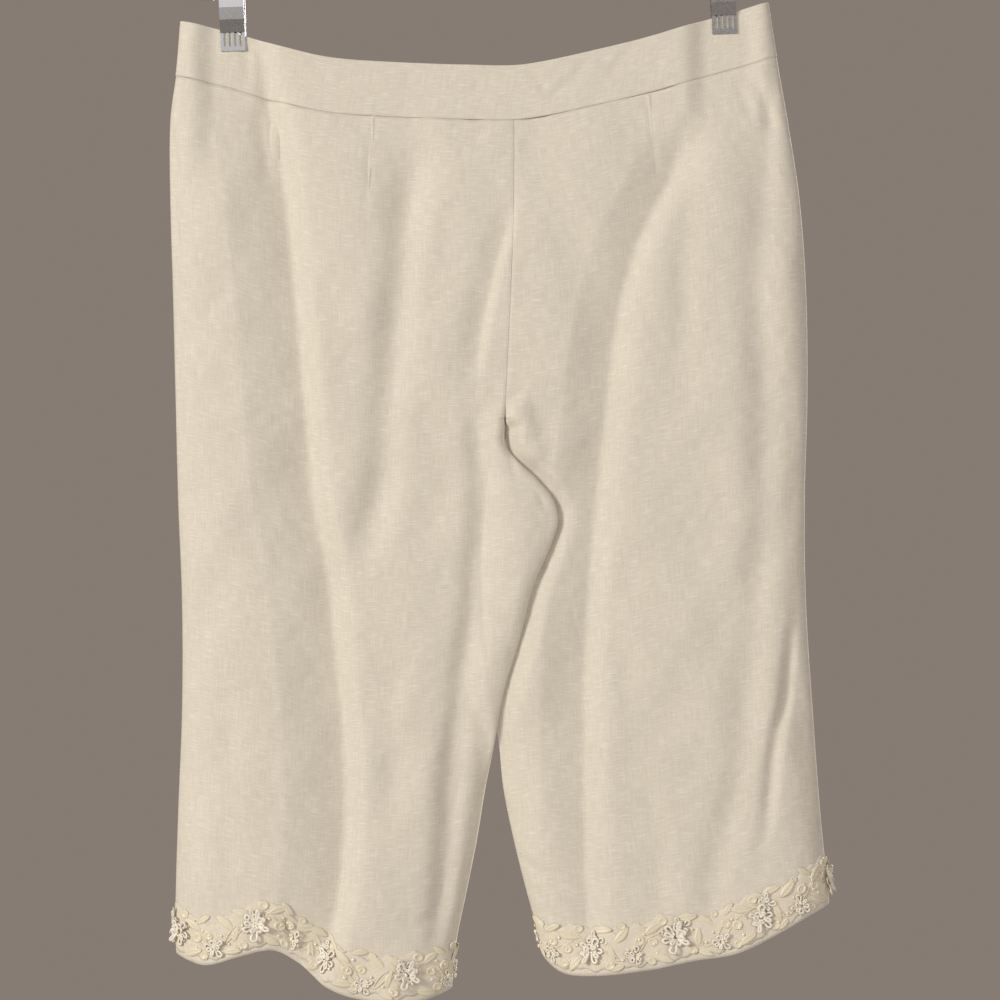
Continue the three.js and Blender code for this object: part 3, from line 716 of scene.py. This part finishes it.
def hem_ground(leg, layer):
    """Ground cloth of the embroidery: it lies on the panel and thins away at its edges."""
    places, lengths = hem_ruler(leg, layer)
    columns = np.interp(np.linspace(0, lengths[-1], 130), lengths, places)
    s = np.linspace(0, lengths[-1], 130)[None, :]
    f = np.linspace(1, 0, 14)[:, None]
    h = mix(trim_foot(s), trim_top(s), f)
    at, _, _, out = hem_frame(leg, layer, np.broadcast_to(columns, h.shape), h)
    lift = 0.18 + 0.42 * smooth(np.minimum(f, 1 - f) / 0.12)
    puff = 0.25 * np.sin(s / 4.1) * np.sin(h / 3.3) * smooth(np.minimum(f, 1 - f) / 0.2)
    points = at + out * (lift + puff)[..., None]
    uv = lay_flat(points)
    obj = new_object(f"hem_ground_{layer}_{leg}", points.reshape(-1, 3),
                     grid_faces(*h.shape, (leg == "left") == (layer == "front")), uv.reshape(-1, 2))
    add_thickness(obj, 0.16)
    return obj, (float(uv[..., 0].max()), float(uv[..., 1].max())), cloth_area(points)


# ---- motifs, each on its own XY plane with +Z out of the cloth, in millimetres ----
def leaf_motif():
    """Satin-stitched leaf over padding, with slanted threads on both sides of a vein."""
    u = np.linspace(0, 1, 34)[:, None]
    v = np.linspace(-1, 1, 9)[None, :]
    width = np.sin(np.pi * np.clip(u * 0.96 + 0.02, 0, 1)) ** 0.75
    x = 15.5 * (u - 0.5) + 0 * v
    y = 3.4 * v * width + 0.6 * np.sin(np.pi * u)
    thread = 0.14 * np.sin(2 * np.pi * (x / 1.15 + np.abs(y) / 1.3))
    z = 1.35 * np.sqrt(1 - 0.98 * v * v) * width ** 0.6 + thread * width - 0.62 * np.exp(-((v / 0.13) ** 2))
    z = np.where(np.abs(v) > 0.99, -0.2, z)
    return new_object("leaf", np.stack([x, y, z], -1).reshape(-1, 3), grid_faces(34, 9, True))


def disc_motif():
    """Padded satin ring, worked round a small hollow."""
    rings = [(0.0, 0.42), (0.24, 0.36), (0.42, 0.55), (0.6, 0.98), (0.8, 1.12), (0.94, 0.7), (1.0, -0.2)]
    count = 20
    turn = np.linspace(0, 2 * np.pi, count, endpoint=False)
    points = [(0, 0, rings[0][1])]
    for radius, height in rings[1:]:
        for k, t in enumerate(turn):
            raised = height + (0.09 if k % 2 else -0.06) * (0.3 < radius < 0.97)
            points.append((4.6 * radius * math.cos(t), 3.8 * radius * math.sin(t), raised))
    faces = [(0, 1 + k, 1 + (k + 1) % count) for k in range(count)]
    for ring in range(len(rings) - 2):
        a, b = 1 + ring * count, 1 + (ring + 1) * count
        faces += [(a + k, b + k, b + (k + 1) % count, a + (k + 1) % count) for k in range(count)]
    return new_object("disc", points, faces)


def bead_motif():
    """Glass seed bead, a barrel."""
    profile = [(0.25, 1.35), (0.7, 1.5), (1.0, 1.1), (1.05, 0.7), (0.85, 0.15), (0.4, -0.1)]
    count = 10
    points, faces = [], []
    for radius, height in profile:
        for t in np.linspace(0, 2 * np.pi, count, endpoint=False):
            points.append((radius * math.cos(t), radius * math.sin(t), height))
    for ring in range(len(profile) - 1):
        a, b = ring * count, (ring + 1) * count
        faces += [(a + k, b + k, b + (k + 1) % count, a + (k + 1) % count) for k in range(count)]
    faces.append(tuple(range(count)))
    return new_object("bead", points, faces)


def flower_motif(seed, loops):
    """Ribbon flower: crowded flat loops of different lengths, tumbled over each other."""
    rng = np.random.default_rng(seed)
    points, faces = [], []
    for k in range(loops):
        turn = 2 * np.pi * (k + rng.uniform(-0.45, 0.45)) / loops
        reach, half = rng.uniform(4.2, 9.4), rng.uniform(0.9, 2.3)
        lift, twist = rng.uniform(0.9, 3.0), rng.uniform(-0.5, 0.5)
        start = rng.uniform(0.2, 2.4)
        centre = []
        for t in np.linspace(0.02, 0.98, 12):
            out = start + reach * math.sin(np.pi * t) ** 0.8
            side = half * math.sin(2 * np.pi * t) + twist * out * 0.4
            centre.append((out, side, 0.5 + lift * math.sin(np.pi * t) ** 0.6 + 0.3 * (k % 3)))
        centre = np.array(centre)
        run = np.gradient(centre, axis=0)
        run /= np.linalg.norm(run, axis=1, keepdims=True)
        across = np.cross(run, [0, 0, 1])
        across /= np.linalg.norm(across, axis=1, keepdims=True)
        top = np.cross(across, run)
        section = [(1.1, 0.0), (0.4, 0.4), (-0.6, 0.3), (-1.1, -0.1), (0.0, -0.2)]
        first = len(points)
        for place, side, high in zip(centre, across, top):
            for w, q in section:
                x, y, z = place + side * w + high * q
                points.append((x * math.cos(turn) - y * math.sin(turn),
                               x * math.sin(turn) + y * math.cos(turn), z))
        count = len(section)
        for row in range(11):
            for j in range(count):
                low, next_low = first + row * count + j, first + row * count + (j + 1) % count
                faces.append((low, low + count, next_low + count, next_low))
    return new_object("flower", points, faces)


# One repeat: kind, place along it, height above the edge, turn in degrees, and size.
SPRIG = [
    ("flower", 12, 19, 0, 1.05), ("knot", 45, 12, 25, 0.8), ("knot", 8, 26, 70, 0.75),
    ("leaf", 27, 30, 155, 1.0), ("leaf", 26, 8, 20, 1.0),
    ("leaf", 37, 34, 38, 0.8), ("leaf", 54, 29, -35, 1.05),
    ("leaf", 62, 17, 75, 0.9), ("leaf", 1, 33, 12, 0.95), ("leaf", 60, 5, -18, 0.8),
    ("disc", 31, 20, 10, 1.0), ("disc", 41, 23, -30, 0.95), ("disc", 18, 34, 0, 0.9),
    ("disc", 35, 7, 40, 0.85),
    ("disc", 1, 8, 15, 0.95), ("disc", 50, 33, 0, 0.75),
]
# Where beads sit: along the repeat, height.
BEADS = [
    (11, 20), (13.5, 18), (12, 16.5), (10, 17.6), (14.4, 20.6), (12.4, 22), (15.8, 15.4), (8.2, 21.5),
    (45, 12.5), (46.4, 11), (43.8, 11.2), (45.4, 14), (8, 27), (9.5, 25.4), (21, 25), (34, 27),
    (50, 19), (57, 12), (66, 24), (31, 20), (41, 23), (1, 8), (29, 13),
]


def lay_out(leg, layer):
    """Places of every motif on one hem: kind -> list of (point, euler, size)."""
    rng = np.random.default_rng({"left": 10, "right": 20}[leg] + {"back": 1, "front": 2}[layer])
    places, lengths = hem_ruler(leg, layer)
    total = lengths[-1]
    wanted = {"leaf": [], "disc": [], "flower": [], "knot": [], "bead": []}
    start, count = -rng.uniform(0, 12), int(math.ceil(total / REPEAT)) + 1
    for n in range(count):
        for kind, s, h, turn, size in SPRIG + [("bead", s, h, 0, 1.0) for s, h in BEADS]:
            s = start + n * REPEAT + s + rng.normal(0, 1.1)
            h = h + rng.normal(0, 0.9)
            if 1.0 < s < total - 1.0:
                mirrored = (180 - turn) if n % 2 else turn
                wanted[kind].append((s, h, mirrored + rng.normal(0, 9), size * rng.uniform(0.9, 1.08)))
    # beaded ribbon loops that stand out past the side seam and the inseam
    if layer == "back":
        for s in (0.2, total - 0.2):
            for h in (9, 14, 20):
                wanted["bead"].append((s, h, 0, 1.5))
            wanted["knot"].append((s, 15, 40, 0.5))
    found = {}
    for kind, rows in wanted.items():
        rows = np.array(rows)
        a = np.interp(rows[:, 0], lengths, places)
        at, run, up, out = hem_frame(leg, layer, a, rows[:, 1])
        turn = np.radians(rows[:, 2])[:, None]
        x_axis = np.cos(turn) * run + np.sin(turn) * up
        lift = 2.3 if kind == "bead" else 0.5
        eulers = []
        for ax, az in zip(x_axis, out):
            ay = np.cross(az, ax)
            frame_matrix = Matrix((ax, ay / np.linalg.norm(ay), az)).transposed()
            eulers.append(tuple(frame_matrix.to_euler()))
        if kind == "bead":
            near_flower = np.array([(((s - start) % REPEAT) - 12) ** 2 + (h - 19) ** 2 < 40
                                    or (((s - start) % REPEAT) - 45) ** 2 + (h - 12) ** 2 < 16
                                    for s, h in rows[:, :2]])
            lift = np.where(near_flower, 1.6, 0.55)[:, None]
        found[kind] = (at + out * lift, eulers, rows[:, 3])
    return found, (places, lengths)


# Twigs of one repeat: where each leaves the stem, its height there, where it ends, and that height.
TWIGS = [(14, 22, 27, 33), (30, 26, 40, 12), (50, 12, 60, 24), (6, 22, -4, 31), (44, 12, 36, 4)]


def stems(leg, layer, ruler):
    """Lines of couched cord: one that waves along the hem, and twigs that leave it."""
    places, lengths = ruler
    lines = []
    s = np.arange(2, lengths[-1] - 2, 1.6)
    lines.append((s, 19 + 8.5 * np.sin(2 * np.pi * s / REPEAT + 0.4) + 1.2 * np.sin(2 * np.pi * s / 17)))
    for n in range(int(lengths[-1] / REPEAT) + 1):
        for at, high, far, end in TWIGS:
            t = np.linspace(0, 1, 9)
            twig = n * REPEAT + at + (far - at) * t
            bend = high + (end - high) * t + 2.2 * np.sin(np.pi * t)
            inside = (twig > 1) & (twig < lengths[-1] - 1)
            if inside.sum() > 3:
                lines.append((twig[inside], bend[inside]))
    points, edges = [], []
    for s, h in lines:
        a = np.interp(s, lengths, places)
        at, _, _, out = hem_frame(leg, layer, a, h)
        first = len(points)
        points += (at + out * 0.75).tolist()
        edges += [(first + i, first + i + 1) for i in range(len(s) - 1)]
    mesh = bpy.data.meshes.new("stem_lines")
    mesh.from_pydata((np.array(points) * MM).tolist(), edges, [])
    obj = bpy.data.objects.new("stem_lines", mesh)
    bpy.context.scene.collection.objects.link(obj)
    return obj


# ---- Geometry Nodes that turn places and lines into stitches ----
def new_group(name, sockets):
    tree = bpy.data.node_groups.new(name, "GeometryNodeTree")
    tree.interface.new_socket("Geometry", in_out="INPUT", socket_type="NodeSocketGeometry")
    for label, kind in sockets:
        tree.interface.new_socket(label, in_out="INPUT", socket_type=kind)
    tree.interface.new_socket("Geometry", in_out="OUTPUT", socket_type="NodeSocketGeometry")
    return tree, node(tree, "NodeGroupInput")


def finish_group(tree, geometry, material):
    solid = node(tree, "GeometryNodeRealizeInstances", {"Geometry": geometry})
    painted = node(tree, "GeometryNodeSetMaterial", {"Geometry": solid.outputs[0], "Material": material})
    node(tree, "NodeGroupOutput", {"Geometry": painted.outputs[0]})


def motif_group():
    """Puts a motif on each vertex, turned and sized by the vertex's own attributes."""
    tree, given = new_group("stitched_motifs", [
        ("Motif", "NodeSocketObject"), ("Size", "NodeSocketFloat"), ("Material", "NodeSocketMaterial")])
    shape = node(tree, "GeometryNodeObjectInfo", {"Object": given.outputs["Motif"]})
    turn = node(tree, "GeometryNodeInputNamedAttribute", {"Name": "turn"}, data_type="FLOAT_VECTOR")
    rotation = node(tree, "FunctionNodeEulerToRotation", {0: turn.outputs["Attribute"]})
    size = node(tree, "GeometryNodeInputNamedAttribute", {"Name": "size"}, data_type="FLOAT")
    scale = node(tree, "ShaderNodeMath", {0: size.outputs["Attribute"], 1: given.outputs["Size"]},
                 operation="MULTIPLY")
    placed = node(tree, "GeometryNodeInstanceOnPoints", {
        "Points": given.outputs["Geometry"], "Instance": shape.outputs["Geometry"],
        "Rotation": rotation.outputs[0], "Scale": scale.outputs[0]})
    finish_group(tree, placed.outputs["Instances"], given.outputs["Material"])
    return tree


def cord_group():
    """Sweeps a round cord along each line."""
    tree, given = new_group("couched_cord", [
        ("Radius", "NodeSocketFloat"), ("Material", "NodeSocketMaterial")])
    line = node(tree, "GeometryNodeMeshToCurve", {"Mesh": given.outputs["Geometry"]})
    ring = node(tree, "GeometryNodeCurvePrimitiveCircle", {
        "Resolution": 6, "Radius": given.outputs["Radius"]})
    swept = node(tree, "GeometryNodeCurveToMesh", {
        "Curve": line.outputs[0], "Profile Curve": ring.outputs[0]})
    finish_group(tree, swept.outputs[0], given.outputs["Material"])
    return tree


def stitched(obj, tree, values):
    """Runs a tree on an object, and keeps the result as a plain mesh."""
    run = obj.modifiers.new("stitches", "NODES")
    run.node_group = tree
    for item in tree.interface.items_tree:
        if item.in_out == "INPUT" and item.name in values:
            run[item.identifier] = values[item.name]
    obj.update_tag()
    depsgraph = bpy.context.evaluated_depsgraph_get()
    mesh = bpy.data.meshes.new_from_object(obj.evaluated_get(depsgraph), depsgraph=depsgraph)
    obj.modifiers.remove(run)
    obj.data = mesh
    mesh.polygons.foreach_set("use_smooth", [True] * len(mesh.polygons))
    return obj


def point_object(name, places):
    at, eulers, sizes = places
    mesh = bpy.data.meshes.new(name)
    mesh.from_pydata((np.asarray(at) * MM).tolist(), [], [])
    turn = mesh.attributes.new("turn", "FLOAT_VECTOR", "POINT")
    turn.data.foreach_set("vector", np.asarray(eulers, np.float32).ravel())
    size = mesh.attributes.new("size", "FLOAT", "POINT")
    size.data.foreach_set("value", np.asarray(sizes, np.float32))
    obj = bpy.data.objects.new(name, mesh)
    bpy.context.scene.collection.objects.link(obj)
    return obj


KINDS = (("leaf", SATIN), ("disc", SATIN), ("flower", RIBBON), ("knot", RIBBON), ("bead", GLASS))


def embroidery(leg, layer, motifs, trees):
    found, ruler = lay_out(leg, layer)
    made = []
    for kind, material in KINDS:
        points = point_object(kind + "_places", found[kind])
        values = {"Motif": motifs[kind], "Size": 1.0, "Material": material}
        made.append(stitched(points, trees["motifs"], values))
    lines = stems(leg, layer, ruler)
    made.append(stitched(lines, trees["cord"], {"Radius": 0.6 * MM, "Material": SATIN}))
    return join(f"hem_embroidery_{layer}_{leg}", made)


# ---- CAD nodes that stay: the hanger ----
HANGER = [
    "hanger_hook", "hanger_bar", "hanger_ferrule", "hanger_cap_left", "hanger_cap_right",
    "clip_left_back_jaw", "clip_left_front_jaw", "clip_left_spring",
    "clip_right_back_jaw", "clip_right_front_jaw", "clip_right_spring",
]
for name in HANGER:
    bpy.data.objects[name].data.materials.clear()
    bpy.data.objects[name].data.materials.append(CHROME)

# ---- build the cloth ----
PANELS = [("back", "left"), ("back", "right"), ("front", "left"), ("front", "right")]
for layer_name, leg_name in PANELS:
    piece, flat, area = panel(leg_name, layer_name)
    piece.data.materials.append(LINEN)
    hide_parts(f"{layer_name}_{leg_name}")
    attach(piece, "root")
    print(piece.name, [round(v, 3) for v in flat], round(area, 4))
for layer_name in ("back", "front"):
    piece, length = band(layer_name)
    piece.data.materials.append(LINEN)
    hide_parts(f"waistband_{layer_name}")
    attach(piece, "root")

MOTIFS = {"leaf": leaf_motif(), "disc": disc_motif(), "bead": bead_motif(),
          "flower": flower_motif(5, 11), "knot": flower_motif(8, 8)}
TREES = {"motifs": motif_group(), "cord": cord_group()}
for layer_name, leg_name in PANELS:
    ground, flat, area = hem_ground(leg_name, layer_name)
    ground.data.materials.append(HEM_LINEN)
    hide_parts(f"hem_trim_{layer_name}_{leg_name}")
    stitching = embroidery(leg_name, layer_name, MOTIFS, TREES)
    print(stitching.name, len(stitching.data.polygons))
    for piece in (ground, stitching):
        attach(piece, "root")
for shape in MOTIFS.values():
    bpy.data.objects.remove(shape)

# ---- camera, light and room ----
scene = bpy.context.scene
camera = bpy.data.objects.new("camera", bpy.data.cameras.new("camera"))
camera.location = (0.0176, -2.2, -0.480)
camera.rotation_euler = (math.radians(90), 0, 0)
camera.data.sensor_width = 36
camera.data.lens = 103.4
scene.collection.objects.link(camera)
scene.camera = camera


def area_light(name, place, toward, size, power, colour="#FFFFFF"):
    data = bpy.data.lights.new(name, "AREA")
    data.shape, data.size, data.energy = "DISK", size, power
    data.color = linear(colour)[:3]
    light = bpy.data.objects.new(name, data)
    light.location = place
    light.rotation_euler = (Vector(toward) - Vector(place)).to_track_quat("-Z", "Y").to_euler()
    scene.collection.objects.link(light)


area_light("key", (-3.7, -3.2, 0.9), (0, 0, -0.5), 1.6, 188, "#FFFDFA")
area_light("fill", (3.0, -3.6, -0.2), (0, 0, -0.5), 3.0, 58, "#F8F9FF")
area_light("card", (-0.8, -3.5, 1.3), (-0.1, 0, -0.2), 2.4, 12)
area_light("behind", (1.2, 3.2, 0.8), (0, 0, -0.5), 2.4, 150)
world = bpy.data.worlds.new("room")
world.use_nodes = True
background = world.node_tree.nodes["Background"]
background.inputs["Color"].default_value = linear("#867C74")
background.inputs["Strength"].default_value = 1.0
scene.world = world
scene.view_settings.view_transform = "Standard"

floor_mesh = bpy.data.meshes.new("floor")
corners = [(-2, -2, -1.6), (2, -2, -1.6), (2, 2, -1.6), (-2, 2, -1.6)]
floor_mesh.from_pydata(corners, [], [(0, 1, 2, 3)])
floor = bpy.data.objects.new("floor", floor_mesh)
scene.collection.objects.link(floor)
# Matt painted board.
floor.data.materials.append(simple("floor_paint", linear("#B9B2AA"), 0.8, 0.0, 6.0, 0.02))
